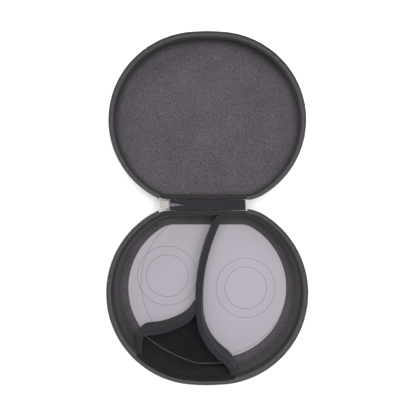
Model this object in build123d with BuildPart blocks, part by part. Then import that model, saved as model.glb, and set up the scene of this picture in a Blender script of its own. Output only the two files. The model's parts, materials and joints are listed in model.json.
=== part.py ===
"""A moulded, zip-round carrying case for folding headphones, lying open on a table.

Two padded shells share one plan outline and a fabric hinge strip. The base is the deep shell:
it holds an S-shaped divider, a curved cradle for one ear cup and a cable pocket. The lid is the
shallow shell. It lies tilted behind the base, with its far edge on the table.

Frame: origin at the centre of the base's flat underside, +X to the right, +Y towards the hinge,
+Z up. Millimetres.
"""

import os
from math import asin, atan2, cos, hypot, radians, sin, tan

from build123d import *

# Plan outline of the closed case, zip included: half of the straight hinge edge, then the
# corner and side arcs as (radius, turn in degrees). The front arc closes the outline.
hinge_edge_half = 39.0
corner_radius, corner_turn = 42.0, 30.5
side_radius, side_turn = 99.0, 144.8
front_turn = 180 - corner_turn - side_turn

# Shells
base_height = 42.0
lid_depth = 21.0
wall_draft = 4.0
floor_round = 12.0
shell_inset = 3.0
cover_thickness, core_thickness, lining_thickness = 0.7, 2.2, 0.6
binding_thickness = 0.7
binding_drop = 5.0

# Zip: each half of it stands on a rim and meets the other one halfway up the closed band
band_height = 9.5
tape_height = 3.05
tape_thickness = 0.8
tape_flare = 40.0
coil_width, coil_height = 1.5, 1.5
stop_length = 2.5
zip_gap_left, zip_gap_right = -52.5, 42.0

# Fabric hinge strip, at rest sloping down from the base's rim to the lid's
strip_slope = 33.0
strip_left, strip_right = -40.6, 41.5
strip_layer = 0.6
fold_clearance = 0.4
notch_tip = -21.0
notch_margin = 1.6
hem_thickness = 0.8
hem_drop = 8.0
end_patch_width, end_patch_thickness = 4.5, 0.9

# Zip slider and its pull
slider_centre = -46.3
slider_length, slider_width, slider_tail_width = 9.7, 8.0, 6.4
slider_plate, slider_slot = 1.2, 2.0
slider_flange = 0.7
slider_post_length, slider_post_width = 3.4, 1.6
crown_length, crown_width, crown_height, crown_bar = 7.2, 1.6, 3.8, 0.9
pull_pin_x, pull_pin_z = 1.0, -4.2
pull_thickness = 1.1
pull_length, pull_width, pull_tip_width = 21.0, 5.6, 4.2
pull_window_length, pull_window_width = 4.6, 2.4

# Inserts of the base: plan centre lines as start, heading and (radius, turn) arcs
divider_start, divider_heading = (16.6, 91.4), -119.3
divider_arcs = ((203.2, 32.8), (63.9, 51.4), (26.3, -61.6))
divider_width, divider_height = 7.4, 40.3
cradle_start, cradle_heading = (-11.1, -12.3), -115.4
cradle_arcs = ((38.1, -36.0), (88.0, -26.0), (10.0, 80.0), (25.0, 40.0))
cradle_width, cradle_height = 5.0, 39.3
insert_skin = 0.7
insert_rounding = 0.25
insert_clearance = 0.05
ramp_centre, ramp_foot_radius, ramp_top_radius = (35.0, 79.0), 168.0, 176.5
pocket_middle = (-30.0, -60.0)
board_thickness = 1.2
card_inset, card_thickness = 18.5, 0.5
left_bay_middle, right_bay_middle = (-50.0, 20.0), (50.0, 0.0)
lip_height, lip_outer_inset, lip_inner_inset, lip_flare = 3.4, 4.1, 9.6, 25.0
lip_sector = ((-10, 4), (-115, -89), (-115, -120), (31, -120), (31, 4))

# Derived places
wall_thickness = cover_thickness + core_thickness + lining_thickness
corner_end = radians(corner_turn - 90)
side_end = radians(corner_turn + side_turn - 90)
front_radius = (
    hinge_edge_half
    + corner_radius * cos(corner_end)
    + side_radius * (cos(side_end) - cos(corner_end))
) / cos(side_end)
case_length = (
    corner_radius * (sin(corner_end) + 1)
    + side_radius * (sin(side_end) - sin(corner_end))
    + front_radius * (1 - sin(side_end))
)
rear = case_length / 2
inner_inset = shell_inset + wall_thickness / cos(radians(wall_draft))
insert_inset = inner_inset + binding_thickness + insert_clearance

slope = radians(strip_slope)
lid_hinge_y = rear + band_height * cos(slope)
lid_hinge_z = base_height - band_height * sin(slope)

# The lid tips until the rounded far edge of its crown touches the table
round_depth = lid_depth - floor_round
round_reach = (
    case_length
    - shell_inset
    - round_depth * tan(radians(wall_draft))
    - floor_round / cos(radians(wall_draft))
)
lid_tilt = asin((lid_hinge_z - floor_round) / hypot(round_reach, round_depth)) - atan2(
    round_depth, round_reach
)

base_rim = Plane.XY.offset(base_height)
lid_rim = Plane(
    origin=(0, lid_hinge_y + rear * cos(lid_tilt), lid_hinge_z - rear * sin(lid_tilt)),
    x_dir=(-1, 0, 0),
    z_dir=(0, sin(lid_tilt), cos(lid_tilt)),
)
strip_plane = Plane(
    origin=(0, rear, base_height), x_dir=(1, 0, 0), z_dir=(0, sin(slope), cos(slope))
)
slider_plane = Plane(
    origin=(slider_centre, (rear + lid_hinge_y) / 2, (base_height + lid_hinge_z) / 2)
)


def plan_outline(inset):
    """The case's plan outline, moved inward by inset."""
    arcs = (
        (corner_radius, corner_turn),
        (side_radius, side_turn),
        (front_radius, front_turn),
    )
    with BuildSketch() as outline:
        with BuildLine():
            edge = Line((0, rear - inset), (-hinge_edge_half, rear - inset))
            for radius, turn in arcs:
                edge = JernArc(
                    start=edge @ 1, tangent=edge % 1, radius=radius - inset, arc_size=turn
                )
            mirror(about=Plane.YZ)
        make_face()
    return outline.sketch


def shell_block(rim, inset, top, bottom, draft=wall_draft, round_over=0):
    """A solid of the plan outline between two heights over a rim plane, narrowing downward.

    The inset is the one at the rim's height.
    """
    with BuildPart() as block:
        with BuildSketch(rim.offset(top)):
            add(plan_outline(inset - top * tan(radians(draft))))
        extrude(amount=bottom - top, taper=draft)
        if round_over:
            floor = block.faces().sort_by(Axis(rim.origin, rim.z_dir))[0]
            fillet(floor.edges(), radius=round_over)
    return block.part


def shell_surface(rim, height, depth):
    """The solid enclosed by the surface at a depth inside a shell's wall and floor."""
    return shell_block(
        rim,
        shell_inset + depth / cos(radians(wall_draft)),
        -binding_thickness,
        depth - height,
        round_over=floor_round - depth,
    )


def insert_space(top):
    """The base's inner room, clear of the rim binding's inner leg, up to a height over the rim."""
    return shell_block(
        base_rim,
        insert_inset,
        top,
        wall_thickness - base_height,
        round_over=floor_round - wall_thickness,
    )


def plan_band(start, heading, arcs, half_width):
    """The face along a path of tangent arcs, half_width to either side of it."""
    across = (-sin(radians(heading)), cos(radians(heading)))
    with BuildSketch() as band:
        with BuildLine():
            sides = []
            for side in (half_width, -half_width):
                point = (start[0] + side * across[0], start[1] + side * across[1])
                first = point
                tangent = (cos(radians(heading)), sin(radians(heading)))
                for radius, turn in arcs:
                    left_turn = 1 if turn > 0 else -1
                    edge = JernArc(
                        start=point,
                        tangent=tangent,
                        radius=radius - left_turn * side,
                        arc_size=turn,
                    )
                    point, tangent = edge @ 1, edge % 1
                sides.append((first, point))
            Line(sides[0][0], sides[1][0])
            Line(sides[0][1], sides[1][1])
        make_face()
    return band.sketch


def insert_wall(start, heading, arcs, width, height):
    """An upright wall along a path, standing on the base's floor, with a rounded top."""
    with BuildPart() as wall:
        with BuildSketch(Plane.XY.offset(wall_thickness)):
            add(plan_band(start, heading, arcs, width / 2))
        extrude(amount=height)
        fillet(wall.faces().sort_by(Axis.Z)[-1].edges(), radius=insert_rounding * width)
    return wall.part


def hinge_side_box(rim, left, right):
    """A box over the hinge edge between two X values, to cut or keep a stretch of a zip ring."""
    with BuildPart() as box:
        with BuildSketch(rim):
            with Locations(((left + right) / 2, rear)):
                Rectangle(right - left, rear)
        extrude(amount=band_height, both=True)
    return box.part


def outline_ring(rim, outer_inset, inner_inset, bottom, top):
    """A straight-sided ring of the plan outline between two heights over a rim plane."""
    with BuildPart() as ring:
        with BuildSketch(rim.offset(bottom)):
            add(plan_outline(outer_inset))
            add(plan_outline(inner_inset), mode=Mode.SUBTRACT)
        extrude(amount=top - bottom)
    return ring.part


def piece_at(shape, place):
    """The one of a shape's solids that lies nearest to a plan position."""
    return shape.solids().sort_by_distance((*place, wall_thickness))[0]


os.makedirs("parts", exist_ok=True)

# ------------------------------------------------------------------ shells, bindings and zips
# The lid faces the other way, so in its own plane the zip's gap and its stop are mirrored.
halves = {
    "base": (base_rim, base_height, zip_gap_left, zip_gap_right, zip_gap_left - stop_length),
    "lid": (lid_rim, lid_depth, -zip_gap_right, -zip_gap_left, -zip_gap_left),
}
for half, (rim, height, gap_left, gap_right, stop_left) in halves.items():
    # Moulded wall: cover fabric, stiff foam core and brushed lining, one inside another
    depths = (0, cover_thickness, cover_thickness + core_thickness, wall_thickness)
    surfaces = [shell_surface(rim, height, depth) for depth in depths]
    for layer, outside, inside in zip(
        ("outer_cover", "shell_core", "lining"), surfaces, surfaces[1:]
    ):
        with BuildPart() as shell_layer:
            add(outside)
            add(inside, mode=Mode.SUBTRACT)
        shell_layer.part.label = f"{half}_{layer}"
        export_step(shell_layer.part, f"parts/{half}_{layer}.step")

    # Rim binding: a folded edge tape that caps the wall, with a leg down either side of it
    with BuildPart() as wall_ring:
        add(shell_block(rim, shell_inset, -binding_thickness, -binding_drop))
        add(
            shell_block(rim, inner_inset, -binding_thickness, -binding_drop),
            mode=Mode.SUBTRACT,
        )
    with BuildPart() as rim_binding:
        add(shell_block(rim, shell_inset - binding_thickness, 0, -binding_drop))
        add(
            shell_block(rim, inner_inset + binding_thickness, 0, -binding_drop),
            mode=Mode.SUBTRACT,
        )
        add(wall_ring.part, mode=Mode.SUBTRACT)
    rim_binding.part.label = f"{half}_rim_binding"
    export_step(rim_binding.part, f"parts/{half}_rim_binding.step")

    # Zip tape: flares up and outward from the binding's outer edge, open at the hinge
    hinge_gap = hinge_side_box(rim, gap_left, gap_right)
    with BuildPart() as zip_tape:
        add(shell_block(rim, shell_inset, tape_height, 0, tape_flare))
        add(
            shell_block(rim, shell_inset + tape_thickness, tape_height, 0, tape_flare),
            mode=Mode.SUBTRACT,
        )
        add(hinge_gap, mode=Mode.SUBTRACT)
    zip_tape.part.label = f"{half}_zip_tape"
    export_step(zip_tape.part, f"parts/{half}_zip_tape.step")

    # Zip coil along the tape's free edge, with a clamped metal stop beside the slider
    coil_ring = outline_ring(rim, 0, coil_width, tape_height, tape_height + coil_height)
    stop_stretch = hinge_side_box(rim, stop_left, stop_left + stop_length)
    with BuildPart() as zip_coil:
        add(coil_ring)
        add(hinge_gap, mode=Mode.SUBTRACT)
        add(stop_stretch, mode=Mode.SUBTRACT)
    zip_coil.part.label = f"{half}_zip_coil"
    export_step(zip_coil.part, f"parts/{half}_zip_coil.step")

    with BuildPart() as zip_top_stop:
        add(coil_ring)
        add(stop_stretch, mode=Mode.INTERSECT)
    zip_top_stop.part.label = f"{half}_zip_top_stop"
    export_step(zip_top_stop.part, f"parts/{half}_zip_top_stop.step")

    # Hinge hem: the strip's sewn edge, down the shell's outside and out to the fold line
    hem_start = strip_left if half == "base" else -strip_right
    hem_plane = Plane(origin=rim.origin, x_dir=rim.y_dir, z_dir=rim.x_dir)
    hem_back = rear - shell_inset + binding_thickness
    with BuildPart() as hinge_hem:
        with BuildSketch(hem_plane.offset(hem_start)):
            with BuildLine():
                Polyline(
                    (hem_back, 0),
                    (rear - fold_clearance, 0),
                    (rear - fold_clearance, -hem_thickness),
                    (hem_back + hem_thickness, -hem_thickness),
                    (hem_back + hem_thickness, -hem_drop),
                    (hem_back, -hem_drop),
                    close=True,
                )
            make_face()
        extrude(amount=strip_right - strip_left)
    hinge_hem.part.label = f"{half}_hinge_hem"
    export_step(hinge_hem.part, f"parts/{half}_hinge_hem.step")

# ------------------------------------------------------------------------------ hinge strip
# Two layers of fabric between the two fold lines. The left end is notched to a V, where the
# zip tapes part on their way to the slider.
far_fold = band_height - fold_clearance
for layer, layer_top in (("inner", 0), ("outer", -strip_layer)):
    with BuildPart() as strip:
        with BuildSketch(strip_plane.offset(layer_top)):
            with BuildLine():
                Polyline(
                    (strip_right, fold_clearance),
                    (strip_right, far_fold),
                    (strip_left, far_fold),
                    (strip_left, far_fold - notch_margin),
                    (notch_tip, band_height / 2),
                    (strip_left, fold_clearance + notch_margin),
                    (strip_left, fold_clearance),
                    close=True,
                )
            make_face()
        extrude(amount=-strip_layer)
    strip.part.label = f"hinge_{layer}_strip"
    export_step(strip.part, f"parts/hinge_{layer}_strip.step")

# End patch: folded over the ends of both tapes where the zip stops, at the strip's right end
with BuildPart() as zip_end_patch:
    with BuildSketch(strip_plane):
        with Locations((strip_right - end_patch_width / 2, band_height / 2)):
            Rectangle(end_patch_width, band_height - 4 * fold_clearance)
    extrude(amount=end_patch_thickness)
    patch_top = zip_end_patch.faces().sort_by(Axis(strip_plane.origin, strip_plane.z_dir))[-1]
    fillet(patch_top.edges(), radius=0.4)
zip_end_patch.part.label = "zip_end_patch"
export_step(zip_end_patch.part, "parts/zip_end_patch.step")

# ----------------------------------------------------------------------------- zip slider
# Two plates joined by a post at the wide mouth, where the tapes enter. The outer plate is the
# lower one while the case lies open.
half_slot = slider_slot / 2
with BuildPart() as zip_slider_body:
    for plate_bottom in (half_slot, -half_slot - slider_plate):
        with BuildSketch(slider_plane.offset(plate_bottom)) as plate:
            with BuildLine():
                Polyline(
                    (-slider_length / 2, -slider_width / 2),
                    (0, -slider_width / 2),
                    (slider_length / 2, -slider_tail_width / 2),
                    (slider_length / 2, slider_tail_width / 2),
                    (0, slider_width / 2),
                    (-slider_length / 2, slider_width / 2),
                    close=True,
                )
            make_face()
            fillet(plate.vertices(), radius=1)
        extrude(amount=slider_plate)
    with BuildSketch(slider_plane.offset(-half_slot)):
        with Locations((slider_post_length / 2 - slider_length / 2 + slider_flange, 0)):
            SlotOverall(slider_post_length, slider_post_width)
    extrude(amount=slider_slot)
    for flange_bottom in (half_slot - slider_flange, -half_slot):
        with BuildSketch(slider_plane.offset(flange_bottom)):
            with GridLocations(0, slider_tail_width - slider_flange, 1, 2):
                with Locations((slider_length / 4 - slider_flange, 0)):
                    Rectangle(slider_length / 2 - slider_flange, slider_flange)
        extrude(amount=slider_flange)
zip_slider_body.part.label = "zip_slider_body"
export_step(zip_slider_body.part, "parts/zip_slider_body.step")

# Crown: the staple-shaped bridge under the outer plate that the pull hangs from
outer_face = -half_slot - slider_plate
crown_plane = Plane(origin=slider_plane.origin, x_dir=(1, 0, 0), z_dir=(0, -1, 0))
with BuildPart() as zip_slider_crown:
    with BuildSketch(crown_plane) as crown:
        with Locations((0, outer_face)):
            Rectangle(crown_length, crown_height, align=(Align.CENTER, Align.MAX))
        fillet(crown.vertices().group_by(Axis.Z)[0], radius=1.2)
        with Locations((0, outer_face)):
            Rectangle(
                crown_length - 2 * crown_bar,
                crown_height - crown_bar,
                align=(Align.CENTER, Align.MAX),
                mode=Mode.SUBTRACT,
            )
    extrude(amount=crown_width / 2, both=True)
zip_slider_crown.part.label = "zip_slider_crown"
export_step(zip_slider_crown.part, "parts/zip_slider_crown.step")

# Pull: a flat tapered tab whose windowed end straddles the crown
with BuildPart() as zip_pull:
    with BuildSketch(slider_plane.offset(pull_pin_z - pull_thickness / 2)) as tab:
        with BuildLine():
            near = pull_pin_x - pull_thickness / 2
            Polyline(
                (near, -pull_width / 2),
                (near + pull_window_length + pull_width, -pull_width / 2),
                (near + pull_length, -pull_tip_width / 2),
                (near + pull_length, pull_tip_width / 2),
                (near + pull_window_length + pull_width, pull_width / 2),
                (near, pull_width / 2),
                close=True,
            )
        make_face()
        fillet(tab.vertices().group_by(Axis.X)[-1], radius=1.5)
        with Locations((pull_pin_x + (pull_thickness + pull_window_length) / 2, 0)):
            Rectangle(pull_window_length, pull_window_width, mode=Mode.SUBTRACT)
    extrude(amount=pull_thickness)
zip_pull.part.label = "zip_pull"
export_step(zip_pull.part, "parts/zip_pull.step")

# ------------------------------------------------------------------- divider and cradle
# Each is a foam wall standing on the floor, wrapped in a fabric skin and trimmed to the shell.
room = insert_space(top=2 * lip_height)
divider = insert_wall(
    divider_start, divider_heading, divider_arcs, divider_width, divider_height
)
cradle = insert_wall(
    cradle_start, cradle_heading, cradle_arcs, cradle_width, cradle_height
)
walls = {
    "divider": (
        divider,
        insert_wall(
            divider_start,
            divider_heading,
            divider_arcs,
            divider_width - 2 * insert_skin,
            divider_height - insert_skin,
        ),
        None,
    ),
    "cradle": (
        cradle,
        insert_wall(
            cradle_start,
            cradle_heading,
            cradle_arcs,
            cradle_width - 2 * insert_skin,
            cradle_height - insert_skin,
        ),
        divider,
    ),
}
for wall, (outside, inside, neighbour) in walls.items():
    with BuildPart() as wall_core:
        add(inside)
        add(room, mode=Mode.INTERSECT)
        if neighbour:
            add(neighbour, mode=Mode.SUBTRACT)
    wall_core.part.label = f"{wall}_core"
    export_step(wall_core.part, f"parts/{wall}_core.step")

    with BuildPart() as wall_cover:
        add(outside)
        add(inside, mode=Mode.SUBTRACT)
        add(room, mode=Mode.INTERSECT)
        if neighbour:
            add(neighbour, mode=Mode.SUBTRACT)
    wall_cover.part.label = f"{wall}_cover"
    export_step(wall_cover.part, f"parts/{wall}_cover.step")

# ------------------------------------------------------------------------- cable pocket
# Front ramp: a soft wedge between the pocket's floor and the shell's front wall
ramp_height = base_height - wall_thickness
with BuildPart() as ramp_cut:
    add(insert_space(top=0))
    with Locations((*ramp_centre, wall_thickness)):
        Cone(
            ramp_foot_radius,
            ramp_top_radius,
            ramp_height,
            align=(Align.CENTER, Align.CENTER, Align.MIN),
            mode=Mode.SUBTRACT,
        )
    add(divider, mode=Mode.SUBTRACT)
    add(cradle, mode=Mode.SUBTRACT)
with BuildPart() as pocket_front_ramp:
    add(ramp_cut.solids().sort_by(SortBy.VOLUME)[-1])
pocket_front_ramp.part.label = "pocket_front_ramp"
export_step(pocket_front_ramp.part, "parts/pocket_front_ramp.step")

# Floor board of the pocket, up to the foot of the ramp
with BuildPart() as board_cut:
    with BuildSketch(Plane.XY.offset(wall_thickness)):
        with Locations(ramp_centre):
            Circle(ramp_foot_radius - insert_clearance)
    extrude(amount=board_thickness)
    add(room, mode=Mode.INTERSECT)
    add(divider, mode=Mode.SUBTRACT)
    add(cradle, mode=Mode.SUBTRACT)
with BuildPart() as pocket_floor_board:
    add(piece_at(board_cut, pocket_middle))
pocket_floor_board.part.label = "pocket_floor_board"
export_step(pocket_floor_board.part, "parts/pocket_floor_board.step")

# Lip: the pocket's soft front rim, laid over the shell's binding inside the flared zip
with BuildPart() as pocket_lip:
    add(shell_block(base_rim, lip_outer_inset, lip_height, 0, lip_flare))
    with BuildSketch(base_rim):
        add(plan_outline(lip_inner_inset))
    extrude(amount=lip_height, mode=Mode.SUBTRACT)
    with BuildSketch(base_rim):
        with BuildLine():
            Polyline(*lip_sector, close=True)
        make_face()
    extrude(amount=lip_height, mode=Mode.INTERSECT)
    add(divider, mode=Mode.SUBTRACT)
    add(cradle, mode=Mode.SUBTRACT)
pocket_lip.part.label = "pocket_lip"
export_step(pocket_lip.part, "parts/pocket_lip.step")

# ---------------------------------------------------------------------------- floor cards
# Printed fitting guides that lie on the floor of the two cup bays
with BuildPart() as card_cut:
    with BuildSketch(Plane.XY.offset(wall_thickness)):
        add(plan_outline(card_inset))
    extrude(amount=card_thickness)
    add(divider, mode=Mode.SUBTRACT)
    add(cradle, mode=Mode.SUBTRACT)
for bay, middle in (("left", left_bay_middle), ("right", right_bay_middle)):
    with BuildPart() as floor_card:
        add(piece_at(card_cut, middle))
    floor_card.part.label = f"{bay}_floor_card"
    export_step(floor_card.part, f"parts/{bay}_floor_card.step")
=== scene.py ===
"""A moulded zip-round headphone case lying open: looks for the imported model. Metres."""

import json
from math import atan2, cos, pi, radians, sin, tan

import bmesh
import bpy
from mathutils import Matrix, Vector, noise


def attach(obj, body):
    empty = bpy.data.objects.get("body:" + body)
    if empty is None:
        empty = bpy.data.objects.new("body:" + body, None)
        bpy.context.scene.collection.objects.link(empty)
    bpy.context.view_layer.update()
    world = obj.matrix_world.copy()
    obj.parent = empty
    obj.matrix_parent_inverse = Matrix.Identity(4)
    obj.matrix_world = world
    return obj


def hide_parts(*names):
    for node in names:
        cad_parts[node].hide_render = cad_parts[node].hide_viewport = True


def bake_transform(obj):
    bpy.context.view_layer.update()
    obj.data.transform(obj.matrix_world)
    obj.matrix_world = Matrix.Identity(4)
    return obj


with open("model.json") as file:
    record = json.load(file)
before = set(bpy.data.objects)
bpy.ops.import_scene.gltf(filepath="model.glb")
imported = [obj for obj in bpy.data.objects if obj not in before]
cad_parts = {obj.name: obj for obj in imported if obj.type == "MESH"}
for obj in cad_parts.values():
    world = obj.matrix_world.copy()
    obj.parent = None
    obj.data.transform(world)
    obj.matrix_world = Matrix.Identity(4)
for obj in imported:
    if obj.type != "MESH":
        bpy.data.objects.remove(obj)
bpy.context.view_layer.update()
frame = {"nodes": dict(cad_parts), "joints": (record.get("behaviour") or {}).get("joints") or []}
bpy.ops.object.select_all(action="DESELECT")

MM = 0.001

# ---------------------------------------------------------------------------------- Shells
# Each half is a tray moulded from stiff foam between a woven cover and a brushed lining. Both
# halves share one plan: a straight hinge edge and tangent arcs. The foam itself is hidden.
joints = {joint["name"]: joint for joint in frame["joints"]}
base_hinge = Vector(joints["base_fold"]["pos_m"])
lid_hinge = Vector(joints["lid_fold"]["pos_m"])
closing_turn = joints["base_fold"]["range_deg"][1] + joints["lid_fold"]["range_deg"][1]
lid_tilt = radians(closing_turn - 180)
rear = base_hinge.y
base_height = base_hinge.z
lid_depth = 21 * MM
shell_inset = 3 * MM
wall_draft = radians(4)
floor_round = 12 * MM
cover_thickness = 0.7 * MM
lining_depth, wall_thickness = 2.9 * MM, 3.5 * MM
rim_drop = 0.7 * MM
skin_pitch = 2.4 * MM

rim_places = {
    "base": Matrix.Translation((0, 0, base_height)),
    "lid": Matrix.Translation(lid_hinge)
    @ Matrix.Rotation(-lid_tilt, 4, "X")
    @ Matrix.Translation((0, rear, 0))
    @ Matrix.Rotation(pi, 4, "Z"),
}
heights = {"base": base_height, "lid": lid_depth}

# The plan as (length or radius, turn in degrees), from the hinge edge's middle round to it again
hinge_edge_half, corner_radius, side_radius = 39 * MM, 42 * MM, 99 * MM
corner_turn, side_turn = 30.5, 144.8
front_turn = 180 - corner_turn - side_turn
corner_end, side_end = radians(90 - corner_turn), radians(90 - front_turn)
front_reach = (
    hinge_edge_half
    + corner_radius * cos(corner_end)
    + side_radius * (cos(side_end) - cos(corner_end))
)
half_plan = [(hinge_edge_half, 0), (corner_radius, corner_turn), (side_radius, side_turn)]
full_plan = half_plan + [(front_reach / cos(side_end), 2 * front_turn)] + half_plan[::-1]


def plan_stations(spacing):
    """Points round the plan with their outward normals and arc lengths, spacing apart."""
    stations = []
    point, heading, run = Vector((0, rear)), pi, 0
    for size, turn in full_plan:
        length = size * radians(turn) if turn else size
        steps = max(2, round(length / spacing))
        for step in range(steps):
            part = step / steps
            if turn:
                angle = heading + radians(turn) * part
                centre = point - size * Vector((sin(heading), -cos(heading)))
                place = centre + size * Vector((sin(angle), -cos(angle)))
            else:
                angle = heading
                place = point + size * part * Vector((cos(heading), sin(heading)))
            stations.append((place, Vector((sin(angle), -cos(angle))), run + length * part))
        if turn:
            centre = point - size * Vector((sin(heading), -cos(heading)))
            heading += radians(turn)
            point = centre + size * Vector((sin(heading), -cos(heading)))
        else:
            point = point + size * Vector((cos(heading), sin(heading)))
        run += length
    return stations


def lay_rows(name, rows, closed_rows, closed_columns, place=Matrix()):
    """A mesh object from rows of points, with a UV map in metres along and across the rows."""
    width = len(rows[0])
    mesh = bpy.data.meshes.new(name)
    faces = []
    row_pairs = len(rows) if closed_rows else len(rows) - 1
    column_pairs = width if closed_columns else width - 1
    for row in range(row_pairs):
        for column in range(column_pairs):
            right = (column + 1) % width
            above = (row + 1) % len(rows)
            faces.append(
                (
                    row * width + column,
                    row * width + right,
                    above * width + right,
                    above * width + column,
                )
            )
    if closed_rows and not closed_columns:
        faces.append([row * width for row in range(len(rows))])
        faces.append([row * width + width - 1 for row in range(len(rows))][::-1])
    if closed_columns and not closed_rows:
        faces.append(list(range(width)))
        faces.append([(len(rows) - 1) * width + column for column in range(width)][::-1])
    points = [place @ Vector(point) for row in rows for point in row]
    mesh.from_pydata(points, [], faces)
    piece = bpy.data.objects.new(name, mesh)
    bpy.context.scene.collection.objects.link(piece)

    along = [[0.0] for _ in rows]
    for row, points_along in enumerate(rows):
        for one, other in zip(points_along, points_along[1:] + points_along[:1]):
            along[row].append(along[row][-1] + (Vector(other) - Vector(one)).length)
    across = [0.0]
    middle = width // 2
    for row in range(len(rows)):
        other = rows[(row + 1) % len(rows)][middle]
        across.append(across[-1] + (Vector(other) - Vector(rows[row][middle])).length)
    uv_map = mesh.uv_layers.new(name="along")
    for polygon in mesh.polygons:
        if polygon.index >= row_pairs * column_pairs:
            continue
        row, column = divmod(polygon.index, column_pairs)
        corners = ((row, column), (row, column + 1), (row + 1, column + 1), (row + 1, column))
        for loop, (at_row, at_column) in zip(polygon.loop_indices, corners):
            u = along[row][at_column]
            uv_map.data[loop].uv = (u, across[at_row])

    turned = bmesh.new()
    turned.from_mesh(mesh)
    bmesh.ops.remove_doubles(turned, verts=turned.verts, dist=1e-7)
    bmesh.ops.recalc_face_normals(turned, faces=turned.faces)
    turned.to_mesh(mesh)
    turned.free()
    for polygon in mesh.polygons:
        polygon.use_smooth = True
    return piece


def finish_piece(piece, material, body, sharp=60):
    """Gives a piece its material, slot and body, if any, and keeps edges over an angle crisp."""
    piece.data.materials.clear()
    piece.data.materials.append(material)
    bpy.ops.object.select_all(action="DESELECT")
    piece.select_set(True)
    bpy.context.view_layer.objects.active = piece
    bpy.ops.object.shade_smooth_by_angle(angle=radians(sharp))
    piece.select_set(False)
    if body:
        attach(piece, body)


def shell_profile(height, depth):
    """(inset, height over the rim) down a drafted wall, round its foot and onto the floor."""
    wall_top = shell_inset + depth / cos(wall_draft)
    centre_z = floor_round - height
    centre_inset = shell_inset + floor_round / cos(wall_draft) - centre_z * tan(wall_draft)
    profile = []
    wall_steps, round_steps = 9, 10
    for step in range(wall_steps):
        level = -rim_drop + (centre_z + rim_drop) * step / wall_steps
        profile.append((wall_top - level * tan(wall_draft), level))
    radius = floor_round - depth
    for step in range(round_steps + 1):
        angle = wall_draft + (pi / 2 - wall_draft) * step / round_steps
        profile.append((centre_inset - radius * cos(angle), centre_z - radius * sin(angle)))
    floor_margin = 6 * MM
    profile.append((centre_inset + floor_margin, depth - height))
    return profile


def shell_skin(name, half, outer_depth, inner_depth):
    """A tray's skin between two depths under its outside, closed over the floor and the rim."""
    stations = plan_stations(skin_pitch)
    height = heights[half]
    rows = []
    for depth, order in ((outer_depth, -1), (inner_depth, 1)):
        profile = shell_profile(height, depth)
        skin_rows = []
        for inset, level in profile:
            skin_rows.append(
                [(*(point - normal * inset), level) for point, normal, _ in stations]
            )
        floor_edge = skin_rows[-1]
        for shrink in (0.75, 0.5, 0.25, 0.04):
            skin_rows.append([(x * shrink, y * shrink, z) for x, y, z in floor_edge])
        rows += skin_rows[::order]
    return lay_rows(name, rows, False, True, rim_places[half])


def new_material(name):
    """A new material with its node tree, its output shader and an adder for further nodes."""
    material = bpy.data.materials.new(name)
    material.use_nodes = True
    tree = material.node_tree
    shader = tree.nodes["Principled BSDF"]

    def node(kind, **settings):
        made = tree.nodes.new(kind)
        for key, value in settings.items():
            if key in made.inputs:
                made.inputs[key].default_value = value
            else:
                setattr(made, key.lower().replace(" ", "_"), value)
        return made

    return material, tree.links.new, shader, node


def brushed_cloth(name, dark, light, grain, bump):
    """Short-pile brushed cloth: speckled by fine noise, mottled by coarse noise."""
    material, link, shader, node = new_material(name)
    shader.inputs["Roughness"].default_value = 0.92
    shader.inputs["Specular IOR Level"].default_value = 0.06
    shader.inputs["Sheen Weight"].default_value = 0.06
    shader.inputs["Sheen Roughness"].default_value = 0.45
    place = node("ShaderNodeTexCoord")
    speckle = node("ShaderNodeTexNoise", Scale=grain, Detail=6.0, Roughness=0.75)
    mottle = node("ShaderNodeTexNoise", Scale=28.0, Detail=3.0, Roughness=0.55)
    spread = node("ShaderNodeValToRGB")
    spread.color_ramp.elements[0].position = 0.36
    spread.color_ramp.elements[0].color = (*dark, 1)
    spread.color_ramp.elements[1].position = 0.66
    spread.color_ramp.elements[1].color = (*light, 1)
    patchy = node("ShaderNodeMapRange")
    patchy.inputs["From Min"].default_value = 0.3
    patchy.inputs["From Max"].default_value = 0.7
    patchy.inputs["To Min"].default_value = 0.9
    patchy.inputs["To Max"].default_value = 1.08
    shade = node("ShaderNodeMix", data_type="RGBA", blend_type="MULTIPLY")
    shade.inputs["Factor"].default_value = 1
    height = node("ShaderNodeBump", Strength=bump, Distance=0.0004)
    link(place.outputs["Object"], speckle.inputs["Vector"])
    link(place.outputs["Object"], mottle.inputs["Vector"])
    link(speckle.outputs["Fac"], spread.inputs["Fac"])
    link(mottle.outputs["Fac"], patchy.inputs["Value"])
    link(spread.outputs["Color"], shade.inputs[6])
    link(patchy.outputs["Result"], shade.inputs[7])
    link(shade.outputs[2], shader.inputs["Base Color"])
    link(speckle.outputs["Fac"], height.inputs["Height"])
    link(height.outputs["Normal"], shader.inputs["Normal"])
    return material


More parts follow.
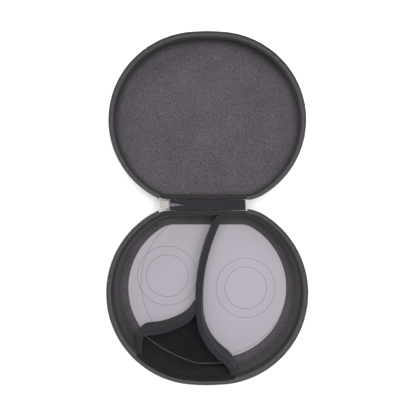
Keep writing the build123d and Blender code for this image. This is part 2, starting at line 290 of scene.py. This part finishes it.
def woven_cloth(name, dark, light, thread, bump, sheen=0.05):
    """Plain-woven cloth whose threads run with the piece's own UV map."""
    material, link, shader, node = new_material(name)
    shader.inputs["Roughness"].default_value = 0.8
    shader.inputs["Specular IOR Level"].default_value = 0.1
    shader.inputs["Sheen Weight"].default_value = sheen
    place = node("ShaderNodeUVMap", uv_map="along")
    warp = node("ShaderNodeTexWave", bands_direction="X", Scale=1 / thread, Distortion=0.6)
    weft = node("ShaderNodeTexWave", bands_direction="Y", Scale=1 / thread, Distortion=0.6)
    fuzz = node("ShaderNodeTexNoise", Scale=900.0, Detail=5.0)
    object_place = node("ShaderNodeTexCoord")
    weave = node("ShaderNodeMath", operation="MULTIPLY")
    mixed = node("ShaderNodeMath", operation="ADD")
    spread = node("ShaderNodeValToRGB")
    spread.color_ramp.elements[0].position = 0.35
    spread.color_ramp.elements[0].color = (*dark, 1)
    spread.color_ramp.elements[1].position = 1.25 / 2
    spread.color_ramp.elements[1].color = (*light, 1)
    halve = node("ShaderNodeMath", operation="MULTIPLY")
    halve.inputs[1].default_value = 0.5
    height = node("ShaderNodeBump", Strength=bump, Distance=0.0002)
    for wave in (warp, weft):
        link(place.outputs["UV"], wave.inputs["Vector"])
    link(object_place.outputs["Object"], fuzz.inputs["Vector"])
    link(warp.outputs["Fac"], weave.inputs[0])
    link(weft.outputs["Fac"], weave.inputs[1])
    link(weave.outputs["Value"], mixed.inputs[0])
    link(fuzz.outputs["Fac"], mixed.inputs[1])
    link(mixed.outputs["Value"], halve.inputs[0])
    link(halve.outputs["Value"], spread.inputs["Fac"])
    link(spread.outputs["Color"], shader.inputs["Base Color"])
    link(mixed.outputs["Value"], height.inputs["Height"])
    link(height.outputs["Normal"], shader.inputs["Normal"])
    return material


lining_cloth = brushed_cloth(
    "lining_cloth", (0.026, 0.023, 0.027), (0.098, 0.09, 0.1), 820.0, 0.5
)
cover_weave = 0.9 * MM
cover_cloth = woven_cloth(
    "cover_cloth", (0.014, 0.013, 0.015), (0.035, 0.033, 0.036), cover_weave, 0.5
)
foam_black, _, foam_shader, _ = new_material("foam_black")
foam_shader.inputs["Base Color"].default_value = (0.02, 0.02, 0.021, 1)
foam_shader.inputs["Roughness"].default_value = 0.95
for half in ("base", "lid"):
    cover = shell_skin(f"{half}_cover_skin", half, 0, cover_thickness)
    finish_piece(cover, cover_cloth, half)
    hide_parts(f"{half}_outer_cover")
    lining = shell_skin(f"{half}_lining_skin", half, lining_depth, wall_thickness)
    finish_piece(lining, lining_cloth, half)
    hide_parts(f"{half}_lining")
for core in ("base_shell_core", "lid_shell_core", "divider_core", "cradle_core"):
    frame["nodes"][core].data.materials.clear()
    frame["nodes"][core].data.materials.append(foam_black)

# ---------------------------------------------------------------------------- Rim bindings
# A folded cloth edge tape that caps each shell's raw wall, with a leg sewn down either side.
# Its roll is a little uneven, as stretched edge tape is round a curve. The profile runs as
# (inset from the plan, height over the rim) in millimetres.
binding_cloth = brushed_cloth(
    "binding_cloth", (0.011, 0.0095, 0.0112), (0.038, 0.034, 0.038), 900.0, 0.4
)
binding_profile = (
    (2.65, -5.0),
    (2.3, -4.6),
    (2.28, -1.3),
    (2.45, -0.55),
    (2.85, -0.15),
    (3.5, 0.02),
    (5.9, 0.06),
    (6.7, -0.06),
    (7.2, -0.5),
    (7.42, -1.2),
    (7.62, -4.6),
    (7.3, -5.0),
    (6.75, -4.8),
    (6.5, -0.8),
    (3.1, -0.8),
    (3.25, -4.8),
)
for half in ("base", "lid"):
    stations = plan_stations(2 * MM)
    rows = []
    for inset, level in binding_profile:
        row = []
        for point, normal, run in stations:
            wobble = 0.12 * noise.noise(Vector((run * 160, inset * 0.35, level * 0.2)))
            place = point - normal * (inset + wobble) * MM
            row.append((*place, (level + 0.6 * wobble) * MM))
        rows.append(row)
    binding = lay_rows(f"{half}_edge_binding", rows, True, True, rim_places[half])
    finish_piece(binding, binding_cloth, half)
    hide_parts(f"{half}_rim_binding")

# ------------------------------------------------------------------------------- Zip tapes
# Woven tape, sewn flat on the binding's outer half, that flares up and out to carry the coil.
# It runs all round the plan but for the hinge strip and the slider beside it. The profile is
# again (inset, height over the rim) in millimetres.
zip_gaps = {"base": (-52.5 * MM, 42 * MM), "lid": (-42 * MM, 52.5 * MM)}
tape_weave, tape_pitch = 0.7 * MM, 2 * MM
# The tape is a lighter grey than its own tone: partly the tape's colour, partly a painted
# highlight along the rims' outer edge.
tape_cloth_and_painted_highlight = woven_cloth("tape_cloth_and_painted_highlight", (0.046, 0.044, 0.047), (0.14, 0.134, 0.14), tape_weave, 0.6)
tape_profile = (
    (2.5, 0.12),
    (1.75, 0.9),
    (1.1, 1.9),
    (0.72, 3.0),
    (0.62, 4.1),
    (1.0, 4.15),
    (1.25, 3.05),
    (1.75, 2.05),
    (2.5, 1.15),
    (3.4, 0.62),
    (4.6, 0.48),
    (4.75, 0.1),
)


def zip_stations(half, spacing, trim=0.0):
    """The plan stations from one end of a zip half to the other, past the hinge's gap."""
    left, right = zip_gaps[half]
    kept = []
    for point, normal, run in plan_stations(spacing):
        in_gap = point.y > rear / 2 and left - trim < point.x < right + trim
        if not in_gap:
            kept.append((point, normal, run))
    return kept


for half in ("base", "lid"):
    rows = []
    for inset, level in tape_profile:
        row = []
        for point, normal, run in zip_stations(half, tape_pitch):
            ripple = 0.16 * noise.noise(Vector((run * 60, 3.1, 0.7))) * level / 4
            row.append((*(point - normal * (inset + ripple) * MM), level * MM))
        rows.append(row)
    tape = lay_rows(f"{half}_woven_tape", rows, True, False, rim_places[half])
    finish_piece(tape, tape_cloth_and_painted_highlight, half)
    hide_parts(f"{half}_zip_tape")

# ------------------------------------------------------------------------------- Zip coils
# A nylon filament wound in small turns and sewn along each tape's free edge.
coil_nylon, link, coil_shader, node = new_material("coil_nylon")
coil_shader.inputs["Roughness"].default_value = 0.38
coil_tone = node("ShaderNodeTexNoise", Scale=300.0, Detail=2.0)
coil_place = node("ShaderNodeTexCoord")
coil_spread = node("ShaderNodeValToRGB")
coil_spread.color_ramp.elements[0].color = (0.03, 0.029, 0.032, 1)
coil_spread.color_ramp.elements[1].color = (0.075, 0.07, 0.076, 1)
link(coil_place.outputs["Object"], coil_tone.inputs["Vector"])
link(coil_tone.outputs["Fac"], coil_spread.inputs["Fac"])
link(coil_spread.outputs["Color"], coil_shader.inputs["Base Color"])

coil_pitch, coil_radius, filament = 0.95 * MM, 0.5 * MM, 0.24 * MM
coil_height, coil_inset = 3.82 * MM, 0.86 * MM
turn_steps, filament_sides = 7, 5
for half in ("base", "lid"):
    stations = zip_stations(half, coil_pitch / turn_steps, trim=2.6 * MM)
    rows = [[] for _ in range(filament_sides)]
    for step, (point, normal, _) in enumerate(stations):
        turn = 2 * pi * step / turn_steps
        outward = Vector((*normal, 0))
        along = Vector((-normal.y, normal.x, 0))
        middle = Vector((*point, coil_height)) - outward * coil_inset
        radial = outward * cos(turn) + Vector((0, 0, sin(turn)))
        tangent = (
            coil_radius * (Vector((0, 0, cos(turn))) - outward * sin(turn))
            + along * coil_pitch / (2 * pi)
        ).normalized()
        side_axis = tangent.cross(radial)
        for side in range(filament_sides):
            angle = 2 * pi * side / filament_sides
            offset = radial * cos(angle) + side_axis * sin(angle)
            rows[side].append(tuple(middle + radial * coil_radius + offset * filament))
    coil = lay_rows(f"{half}_wound_coil", rows, True, False, rim_places[half])
    finish_piece(coil, coil_nylon, half, 80)
    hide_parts(f"{half}_zip_coil")

# -------------------------------------------------------------------------------- Stitching
# Lockstitch in dark thread: one row holds each tape down on its rim.
thread, link, thread_shader, node = new_material("thread")
thread_shader.inputs["Roughness"].default_value = 0.6
thread_tone = node("ShaderNodeTexNoise", Scale=2500.0, Detail=2.0)
thread_place = node("ShaderNodeTexCoord")
thread_spread = node("ShaderNodeValToRGB")
thread_spread.color_ramp.elements[0].color = (0.012, 0.011, 0.012, 1)
thread_spread.color_ramp.elements[1].color = (0.035, 0.033, 0.036, 1)
link(thread_place.outputs["Object"], thread_tone.inputs["Vector"])
link(thread_tone.outputs["Fac"], thread_spread.inputs["Fac"])
link(thread_spread.outputs["Color"], thread_shader.inputs["Base Color"])


# (reach along, lift over, half thickness) of one stitch's four rings, in millimetres
stitch_rings = ((-1.1, -0.12, 0.1), (-0.6, 0.14, 0.2), (0.6, 0.14, 0.2), (1.1, -0.12, 0.1))
stitch_pitch, stitch_inset, stitch_height = 3 * MM, 3.9 * MM, 0.6 * MM


def stitch_row(name, seats, place):
    """One mesh of stitches: each lies along a heading and dips into the cloth at both ends."""
    mesh = bmesh.new()
    for seat, heading, upward in seats:
        side = heading.cross(upward).normalized()
        rings = []
        for reach, lift, thick in stitch_rings:
            centre = seat + heading * reach * MM + upward * lift * MM
            corners = (side, upward, -side, -upward)
            rings.append([mesh.verts.new(centre + corner * thick * MM) for corner in corners])
        for ring, following in zip(rings, rings[1:]):
            for corner in range(4):
                following_corner = (corner + 1) % 4
                mesh.faces.new(
                    (
                        ring[corner],
                        ring[following_corner],
                        following[following_corner],
                        following[corner],
                    )
                )
        mesh.faces.new(rings[0][::-1])
        mesh.faces.new(rings[-1])
    bmesh.ops.recalc_face_normals(mesh, faces=mesh.faces)
    data = bpy.data.meshes.new(name)
    mesh.to_mesh(data)
    mesh.free()
    data.transform(place)
    piece = bpy.data.objects.new(name, data)
    bpy.context.scene.collection.objects.link(piece)
    return piece


for half in ("base", "lid"):
    seats = []
    for point, normal, _ in zip_stations(half, stitch_pitch, trim=1 * MM):
        heading = Vector((-normal.y, normal.x, 0))
        seat = Vector((*(point - normal * stitch_inset), stitch_height))
        seats.append((seat, heading, Vector((0, 0, 1))))
    stitches = stitch_row(f"{half}_tape_stitching", seats, rim_places[half])
    finish_piece(stitches, thread, half)

# ------------------------------------------------------------------------------ Zip hardware
# Clamped metal stops end the coils beside the slider. The die-cast slider waits in the mouth
# of the zip, with its pull tab hanging beneath it from a staple-shaped bridge.
def brushed_metal(name, tint, roughness):
    """Plated die-cast metal, slightly hazed by handling."""
    material, link, shader, node = new_material(name)
    shader.inputs["Metallic"].default_value = 0.75
    shader.inputs["Base Color"].default_value = (*tint, 1)
    haze = node("ShaderNodeTexNoise", Scale=700.0, Detail=4.0)
    place = node("ShaderNodeTexCoord")
    spread = node("ShaderNodeMapRange")
    spread.inputs["To Min"].default_value = roughness - 0.08
    spread.inputs["To Max"].default_value = roughness + 0.1
    dents = node("ShaderNodeBump", Strength=0.12, Distance=0.0002)
    link(place.outputs["Object"], haze.inputs["Vector"])
    link(haze.outputs["Fac"], spread.inputs["Value"])
    link(spread.outputs["Result"], shader.inputs["Roughness"])
    link(haze.outputs["Fac"], dents.inputs["Height"])
    link(dents.outputs["Normal"], shader.inputs["Normal"])
    return material


slider_plating = brushed_metal("slider_plating", (0.17, 0.16, 0.152), 0.5)
stop_plating = brushed_metal("stop_plating", (0.02, 0.02, 0.022), 0.5)
pull_plating = brushed_metal("pull_plating", (0.06, 0.062, 0.067), 0.5)
zip_hardware = {
    "zip_slider_body": slider_plating,
    "zip_slider_crown": slider_plating,
    "zip_pull": pull_plating,
    "base_zip_top_stop": stop_plating,
    "lid_zip_top_stop": stop_plating,
}
for name, material in zip_hardware.items():
    node_piece = frame["nodes"][name]
    node_piece.data.materials.clear()
    node_piece.data.materials.append(material)

# ----------------------------------------------------------------------------- Hinge fabric
# Two lengths of cover cloth, one sewn to each shell's wall and rolled over its rim, meeting at
# a seam along the middle. The left ends are cut back to a V where the zip's two tapes part.
strip_slope = radians(33)
strip_ends = (-40.6 * MM, 41.5 * MM)
notch_tip_x = -21 * MM
strip_depth = (lid_hinge - base_hinge).length
seam_gap = 0.1 * MM
notch_margin = 2 * MM
fold_bulge, fold_run = 0.35 * MM, 3 * MM
cloth_thickness, cloth_pucker = 0.9 * MM, 0.12 * MM
strip_steps, across_steps = 9, 66
hinge_cloth = brushed_cloth(
    "hinge_cloth", (0.012, 0.011, 0.013), (0.03, 0.028, 0.032), 1000.0, 0.4
)

# Up the outside of the wall to the fold: (out, up) from the fold's axis, in millimetres
hem_path = ((-1.95, -8.0), (-1.85, -4.0), (-1.8, -1.3), (-1.5, -0.45), (-0.9, 0.02))


def hinge_cloth_piece(name, body, axis_place, outward_sign):
    """One half of the hinge's cloth, from a shell's wall over the fold to the seam."""
    sections = []
    strip_direction = (lid_hinge - base_hinge).normalized() * outward_sign
    strip_normal = Vector((0, sin(strip_slope), cos(strip_slope)))
    if body == "base":
        outward, upward = Vector((0, 1, 0)), Vector((0, 0, 1))
    else:
        outward = Vector((0, -cos(lid_tilt), sin(lid_tilt)))
        upward = Vector((0, sin(lid_tilt), cos(lid_tilt)))
    for out, up in hem_path:
        sections.append((axis_place + outward * out * MM + upward * up * MM, 0.0))
    reach = strip_depth / 2 - seam_gap
    for step in range(1, strip_steps + 1):
        along = reach * step / strip_steps
        bulge = fold_bulge * sin(pi * min(1, along / fold_run))
        sections.append((axis_place + strip_direction * along + strip_normal * bulge, along))
    rows = []
    under = []
    for index, (middle, along) in enumerate(sections):
        before = sections[max(0, index - 1)][0]
        after = sections[min(len(sections) - 1, index + 1)][0]
        direction = (after - before).normalized()
        facing = Vector((1, 0, 0)).cross(direction) * outward_sign
        notch = max(0, along - notch_margin) / (strip_depth / 2 - notch_margin)
        left = strip_ends[0] + (notch_tip_x - strip_ends[0]) * min(1, notch)
        top_row, under_row = [], []
        for step in range(across_steps + 1):
            x = left + (strip_ends[1] - left) * step / across_steps
            pucker = cloth_pucker * noise.noise(Vector((x * 260, along * 300, 5.0)))
            place = middle + facing * pucker
            top_row.append((x, place.y, place.z))
            lower = middle - facing * cloth_thickness
            under_row.append((x, lower.y, lower.z))
        rows.append(top_row)
        under.append(under_row)
    return lay_rows(name, rows + under[::-1], True, False)


patch = frame["nodes"]["zip_end_patch"]
patch.data.materials.clear()
patch.data.materials.append(hinge_cloth)
for name, body, place, sign, nodes in (
    ("base_hinge_cloth", "base", base_hinge, 1, ("base_hinge_hem", "hinge_inner_strip")),
    ("lid_hinge_cloth", "lid", lid_hinge, -1, ("lid_hinge_hem", "hinge_outer_strip")),
):
    cloth = hinge_cloth_piece(name, body, place, sign)
    finish_piece(cloth, hinge_cloth, None)
    if body == "base":
        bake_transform(cloth)
    else:
        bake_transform(cloth)
    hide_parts(*nodes)

# -------------------------------------------------------------------------- Divider and cradle
# Foam walls wrapped in lining cloth and glued to the floor. The divider curves round one cup
# and ends over the front rim; the cradle leans under the other. Each has a piped top edge.
# Their cloth is a darker copy of the lining: painted shade for the dim inside of the base.
over_rim_inset, binding_leg_inset = 4.4 * MM, 7.5 * MM
rim_rise, binding_drop = 0.2 * MM, 5 * MM
insert_depth = 3.3 * MM


def inner_inset(level):
    """How far in from the plan the base's lining, or its binding's leg, stands at a height."""
    level -= base_height
    if level > rim_rise:
        return over_rim_inset
    if level > -binding_drop:
        return binding_leg_inset
    profile = shell_profile(base_height, insert_depth)
    for (inset, top), (next_inset, bottom) in zip(profile, profile[1:]):
        if bottom <= level <= top and top > bottom:
            return inset + (next_inset - inset) * (top - level) / (top - bottom)
    return profile[-1][0]


plan_normals = [(point, normal) for point, normal, _ in plan_stations(3 * MM)]


def inset_of(x, y):
    """How far a point lies inside the plan outline."""
    place = Vector((x, y))
    return min((point - place).dot(normal) for point, normal in plan_normals)


def wall_path(start, heading, arcs, spacing=1.2):
    """Points along tangent arcs in millimetres, each with its left-hand normal, in metres."""
    point, heading, path = Vector(start), radians(heading), []
    for radius, turn in arcs:
        left = 1 if turn > 0 else -1
        centre = point + left * radius * Vector((-sin(heading), cos(heading)))
        steps = round(radius * abs(radians(turn)) / spacing)
        for step in range(steps):
            angle = heading + radians(turn) * step / steps
            normal = Vector((-sin(angle), cos(angle)))
            path.append(((centre - left * radius * normal) * MM, normal))
        heading += radians(turn)
        point = centre - left * radius * Vector((-sin(heading), cos(heading)))
    path.append((point * MM, Vector((-sin(heading), cos(heading)))))
    return path


# Over its last stations a wall's crown sinks onto the rim, in millimetres
end_droop, droop_above, droop_stations = 1.2, 42.4, 4


def wrapped_wall(name, path, section, material, columns):
    """A wall of (offset, height) rows along a path, each row stopping at the shell's lining."""
    rows = []
    for offset, height in section:
        limit = inner_inset(height * MM)
        inside = [
            index
            for index, (point, normal) in enumerate(path)
            if inset_of(*(point + normal * offset * MM)) >= limit
        ]
        first, last = inside[0], inside[-1]
        row = []
        for column in range(columns + 1):
            place = first + (last - first) * column / columns
            low = min(int(place), len(path) - 2)
            part = place - low
            point = path[low][0].lerp(path[low + 1][0], part)
            normal = path[low][1].lerp(path[low + 1][1], part)
            pucker = 0.16 * noise.noise(Vector((place * 0.11, height * 0.12, offset * 0.2)))
            near_end = max(0, (place - last + droop_stations) / droop_stations)
            droop = end_droop * near_end**2 if height > droop_above else 0
            spot = point + normal * (offset + pucker) * MM
            row.append((spot.x, spot.y, (height - droop) * MM))
        rows.append(row)
    piece = lay_rows(name, rows, True, False)
    finish_piece(piece, material, "base")
    return piece


# A darker copy of the lining cloth: painted shade on the divider and cradle walls.
insert_cloth_painted_shade = brushed_cloth(
    "insert_cloth_painted_shade", (0.008, 0.0075, 0.009), (0.036, 0.034, 0.039), 900.0, 0.5
)
divider_path = wall_path(
    (16.6, 91.4), -119.3, ((203.2, 32.8), (63.9, 51.4), (26.3, -61.6))
)
cradle_path = wall_path(
    (-11.1, -12.3), -115.4, ((38.1, -36.0), (88.0, -26.0), (10.0, 80.0), (25.0, 40.0))
)
divider_section = (
    (-4.4, 3.6),
    (-3.9, 12.0),
    (-3.3, 26.0),
    (-2.9, 38.0),
    (-2.75, 41.6),
    (-3.0, 42.5),
    (-2.8, 43.4),
    (-2.2, 43.8),
    (-1.6, 43.5),
    (-0.8, 43.4),
    (0.6, 43.5),
    (1.7, 43.3),
    (2.5, 42.6),
    (2.9, 41.4),
    (3.1, 38.0),
    (3.6, 26.0),
    (4.1, 12.0),
    (4.6, 3.6),
)
divider_wall = wrapped_wall("divider_wall", divider_path, divider_section, insert_cloth_painted_shade, 120)
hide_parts("divider_cover", "divider_core")

cradle_section = (
    (-4.9, 3.6),
    (-4.2, 12.0),
    (-3.2, 26.0),
    (-2.3, 37.0),
    (-1.9, 40.3),
    (-1.4, 41.7),
    (-0.3, 42.2),
    (0.8, 42.3),
    (1.3, 42.75),
    (1.9, 42.8),
    (2.4, 42.3),
    (2.4, 41.5),
    (2.1, 40.8),
    (2.2, 38.0),
    (2.35, 26.0),
    (2.45, 12.0),
    (2.5, 3.6),
)
cradle_wall = wrapped_wall("cradle_wall", cradle_path, cradle_section, insert_cloth_painted_shade, 90)
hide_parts("cradle_cover", "cradle_core")

# -------------------------------------------------------------------------------- Cable pocket
# A cloth-covered board floors the pocket. A padded panel rises from it along a piped crease,
# curves up the shell's front and rolls over the rim in a soft lip inside the zip. Their cloth is
# near black: painted shade for the deep pocket.
# A near-black copy of the lining cloth: painted shade for the deep pocket and its floor.
pocket_cloth_painted_shade = brushed_cloth(
    "pocket_cloth_painted_shade", (0.003, 0.0028, 0.0036), (0.019, 0.018, 0.021), 850.0, 0.5
)
pocket_centre = Vector((35, 79)) * MM
foot_radius, top_radius = 168 * MM, 176.5 * MM
pocket_back = -40 * MM
lining_gap = 0.6 * MM


def reach_to_inset(angle, inset):
    """Distance from the pocket's centre, along a bearing, to the plan moved in by inset."""
    near, far = 100 * MM, 260 * MM
    for _ in range(30):
        middle = (near + far) / 2
        place = pocket_centre + middle * Vector((cos(angle), sin(angle)))
        if inset_of(*place) > inset:
            near = middle
        else:
            far = middle
    return near


def bearing_of(path, radius):
    """The bearing from the pocket's centre at which a wall's path crosses a radius."""
    front = [point for point, _ in path if point.y < pocket_back]
    nearest = min(front, key=lambda point: abs((point - pocket_centre).length - radius))
    offset = nearest - pocket_centre
    return atan2(offset.y, offset.x)


# (share of the way from crease to top, height) up the panel, then (inset, height) over the
# lip, lengths in millimetres
panel_rows = [
    (0, 4.8),
    (0.02, 6.2),
    (0.1, 9.5),
    (0.27, 16.0),
    (0.5, 25.0),
    (0.72, 33.0),
    (0.9, 38.6),
]
lip_rows = [
    (8.9, 41.2),
    (8.2, 42.9),
    (7.2, 44.3),
    (6.1, 45.0),
    (5.0, 45.0),
    (4.1, 44.3),
    (3.7, 43.3),
    (3.9, 42.5),
    (5.0, 42.15),
    (7.9, 42.1),
    (8.2, 38.0),
]
panel_columns = 70
panel_lump, panel_depth, panel_foot = 0.25 * MM, 3 * MM, 3.7 * MM
rows = []
for row_index, (share, height) in enumerate(panel_rows + lip_rows):
    on_panel = row_index < len(panel_rows)
    row = []
    radius = foot_radius + (top_radius - foot_radius) * share if on_panel else top_radius
    left = bearing_of(cradle_path, radius)
    right = bearing_of(divider_path, radius)
    for column in range(panel_columns + 1):
        angle = left + (right - left) * column / panel_columns
        inset = inner_inset(height * MM) + lining_gap if on_panel else share * MM
        reach = reach_to_inset(angle, inset)
        if on_panel:
            reach = min(radius, reach)
        lump = panel_lump * noise.noise(Vector((angle * 14, height * 0.09, 2.0)))
        spot = pocket_centre + (reach + lump) * Vector((cos(angle), sin(angle)))
        row.append((spot.x, spot.y, height * MM))
    rows.append(row)
back_row = []
for x, y, _ in rows[0]:
    away = (Vector((x, y)) - pocket_centre).normalized() * panel_depth
    back_row.append((x + away.x, y + away.y, panel_foot))
rows.append(back_row)
panel = lay_rows("pocket_panel", rows, True, False)
finish_piece(panel, pocket_cloth_painted_shade, "base")
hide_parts("pocket_front_ramp", "pocket_lip")

# The piping's lighter grey is a painted highlight along the crease's raised edge.
welt_cloth_painted_highlight = brushed_cloth("welt_cloth_painted_highlight", (0.05, 0.048, 0.053), (0.1, 0.096, 0.104), 1200.0, 0.3)
welt_left = bearing_of(cradle_path, foot_radius)
welt_right = bearing_of(divider_path, foot_radius)
welt_sides, welt_radius, welt_height, welt_offset = 8, 0.55 * MM, 5.1 * MM, 0.35 * MM
crease_level = 5 * MM
crease_inset = inner_inset(crease_level) + lining_gap
rows = []
for side in range(welt_sides):
    around = 2 * pi * side / welt_sides
    row = []
    for column in range(panel_columns + 1):
        angle = welt_left + (welt_right - welt_left) * column / panel_columns
        crease = min(foot_radius, reach_to_inset(angle, crease_inset))
        reach = crease - welt_offset + welt_radius * cos(around)
        spot = pocket_centre + reach * Vector((cos(angle), sin(angle)))
        row.append((spot.x, spot.y, welt_height + welt_radius * sin(around)))
    rows.append(row)
welt = lay_rows("pocket_crease_piping", rows, True, False)
finish_piece(welt, welt_cloth_painted_highlight, "base")
# The floor board takes the same near-black cloth: painted shade on the pocket's floor.
board = frame["nodes"]["pocket_floor_board"]
board.data.materials.clear()
board.data.materials.append(pocket_cloth_painted_shade)

# --------------------------------------------------------------------------------- Floor cards
# Pale printed cards on the floor of the cup bays show where each cup goes: a thin ring for the
# cup, a smaller one for its pad, and a band curving round them.
card_print, link, card_shader, node = new_material("card_print")
card_shader.inputs["Roughness"].default_value = 0.55
card_place = node("ShaderNodeTexCoord")
card_lines = None
# (x, y, radius) of each printed line, in millimetres
card_rings = ((-46, 18, 34), (-46, 18, 24), (44, 4, 34), (44, 4, 24), (8, 10, 84))
line_half_width = 0.3 * MM
for centre_x, centre_y, ring in card_rings:
    flat_place = node("ShaderNodeVectorMath", operation="MULTIPLY")
    flat_place.inputs[1].default_value = (1, 1, 0)
    away = node("ShaderNodeVectorMath", operation="DISTANCE")
    away.inputs[1].default_value = (centre_x * MM, centre_y * MM, 0)
    on_ring = node("ShaderNodeMath", operation="COMPARE")
    on_ring.inputs[1].default_value = ring * MM
    on_ring.inputs[2].default_value = line_half_width
    link(card_place.outputs["Object"], flat_place.inputs[0])
    link(flat_place.outputs["Vector"], away.inputs[0])
    link(away.outputs["Value"], on_ring.inputs[0])
    if card_lines is None:
        card_lines = on_ring
    else:
        together = node("ShaderNodeMath", operation="MAXIMUM")
        link(card_lines.outputs["Value"], together.inputs[0])
        link(on_ring.outputs["Value"], together.inputs[1])
        card_lines = together
card_ink = node("ShaderNodeMix", data_type="RGBA")
card_ink.inputs[6].default_value = (0.26, 0.24, 0.275, 1)
card_ink.inputs[7].default_value = (0.12, 0.11, 0.13, 1)
link(card_lines.outputs["Value"], card_ink.inputs["Factor"])
link(card_ink.outputs[2], card_shader.inputs["Base Color"])
for name in ("left_floor_card", "right_floor_card"):
    card = frame["nodes"][name]
    card.data.materials.clear()
    card.data.materials.append(card_print)

# ------------------------------------------------------------------------ Floor and lighting
# A plain pale table under even, soft light from above, seen from straight overhead
bpy.ops.mesh.primitive_plane_add(size=6, location=(0, 0, 0))
table = bpy.context.active_object
table.name = "table"
table_paint, _, table_shader, _ = new_material("table_paint")
table_shader.inputs["Base Color"].default_value = (0.93, 0.93, 0.93, 1)
table_shader.inputs["Roughness"].default_value = 0.9
table.data.materials.append(table_paint)

bpy.context.scene.view_settings.view_transform = "Standard"
world = bpy.data.worlds.new("studio")
bpy.context.scene.world = world
world.use_nodes = True
world.node_tree.nodes["Background"].inputs["Color"].default_value = (1, 1, 1, 1)
world_strength = 0.4
world.node_tree.nodes["Background"].inputs["Strength"].default_value = world_strength
for name, place, size, power in (
    ("overhead", (0.1, 0.2, 1.6), 1.0, 32),
    ("from_behind", (-0.7, 1.2, 0.9), 0.8, 9),
    ("from_right", (1.2, -0.2, 0.8), 0.8, 5),
):
    light = bpy.data.lights.new(name, "AREA")
    light.size, light.energy = size, power
    lamp = bpy.data.objects.new(name, light)
    lamp.location = place
    lamp.rotation_euler = (Vector((0, 0.1, 0)) - Vector(place)).to_track_quat("-Z", "Y").to_euler()
    bpy.context.scene.collection.objects.link(lamp)

lens_length = 49.2
camera_place = (0.0008, 0.0957, 0.657)
camera_data = bpy.data.cameras.new("camera")
camera_data.lens = lens_length
camera = bpy.data.objects.new("camera", camera_data)
camera.location = camera_place
bpy.context.scene.collection.objects.link(camera)
bpy.context.scene.camera = camera
